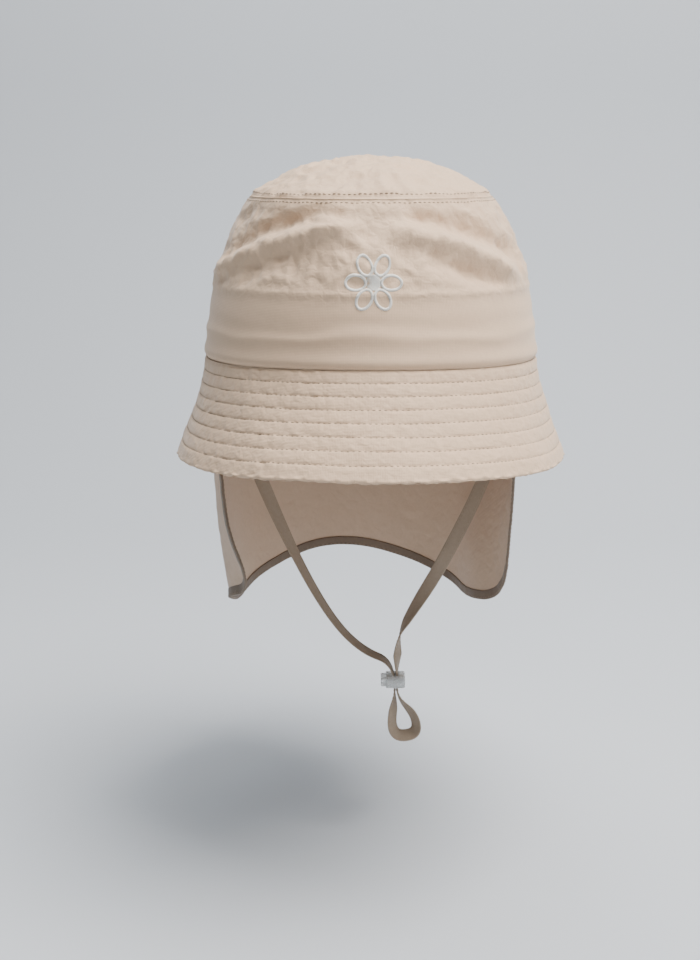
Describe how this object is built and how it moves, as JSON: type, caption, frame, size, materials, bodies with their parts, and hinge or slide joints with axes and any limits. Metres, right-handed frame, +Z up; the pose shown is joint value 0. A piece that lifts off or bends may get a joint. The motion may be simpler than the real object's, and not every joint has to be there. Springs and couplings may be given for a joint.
{
  "type": "sun hat",
  "caption": "Child's bucket sun hat of thin crinkled nylon with a stitched brim, a neck flap and a chin strap that runs through a sprung cord stopper.",
  "frame": {"origin": "centre of the head opening, in the plane of the seam between crown and brim", "axes": "+Z up through the crown as worn, the front of the hat faces -Y, +X on the right of somebody who looks at the front"},
  "size_m": [0.197, 0.2376, 0.3037],
  "materials": {
    "shell_cloth": "crinkled thin nylon, matte with a faint sheen",
    "brim_cloth": "topstitched nylon, matte",
    "flap_cloth": "thin single-ply nylon, slightly translucent",
    "binding_cloth": "folded nylon binding, matte",
    "strap_cloth": "folded flat tape of the same nylon, matte",
    "lining_cloth": "thin woven lining, matte",
    "sweatband_cloth": "plain woven sweatband, matte",
    "backing_felt": "non-woven backing",
    "interlining_cloth": "stiff non-woven interlining",
    "embroidery_thread": "off-white embroidery thread, satin",
    "clear_plastic": "clear moulded plastic",
    "spring_wire": "drawn wire"
  },
  "bodies": {
    "hat": {"crown_side_front": "shell_cloth", "crown_side_back": "shell_cloth", "crown_tip": "shell_cloth", "side_lining": "lining_cloth", "tip_lining": "lining_cloth", "sweatband": "sweatband_cloth", "embroidery_backing": "backing_felt", "embroidered_flower": "embroidery_thread", "brim_top_front": "brim_cloth", "brim_top_back": "brim_cloth", "brim_interlining": "interlining_cloth", "brim_under_front": "brim_cloth", "brim_under_back": "brim_cloth", "strap_tack_left": "strap_cloth", "strap_tack_right": "strap_cloth"},
    "neck_flap": {"neck_flap": "flap_cloth", "flap_binding": "binding_cloth"},
    "chin_strap": {"chin_strap": "strap_cloth"},
    "cord_stopper": {"stopper_barrel": "clear_plastic", "stopper_spring": "spring_wire"},
    "stopper_plunger": {"stopper_plunger": "clear_plastic"}
  },
  "joints": [
    {"name": "strap_swing", "type": "hinge", "parent": "hat", "child": "chin_strap", "pos_m": [0, 0, -0.001], "axis": [-1, 0, 0], "range_deg": [-25, 60]},
    {"name": "stopper_slide", "type": "slide", "parent": "chin_strap", "child": "cord_stopper", "axis": [0, 0, 1], "range_m": [-0.012, 0.06], "deforming": ["chin_strap"]},
    {"name": "plunger_press", "type": "slide", "parent": "cord_stopper", "child": "stopper_plunger", "axis": [1, 0, 0], "range_m": [0, 0.0012], "stiffness_N_per_m": 400, "springref_m": -0.002, "deforming": ["stopper_spring"]},
    {"name": "flap_lift", "type": "hinge", "parent": "hat", "child": "neck_flap", "pos_m": [0, -0.03, -0.002], "axis": [1, 0, 0], "range_deg": [0, 15], "deforming": ["neck_flap"]}
  ]
}
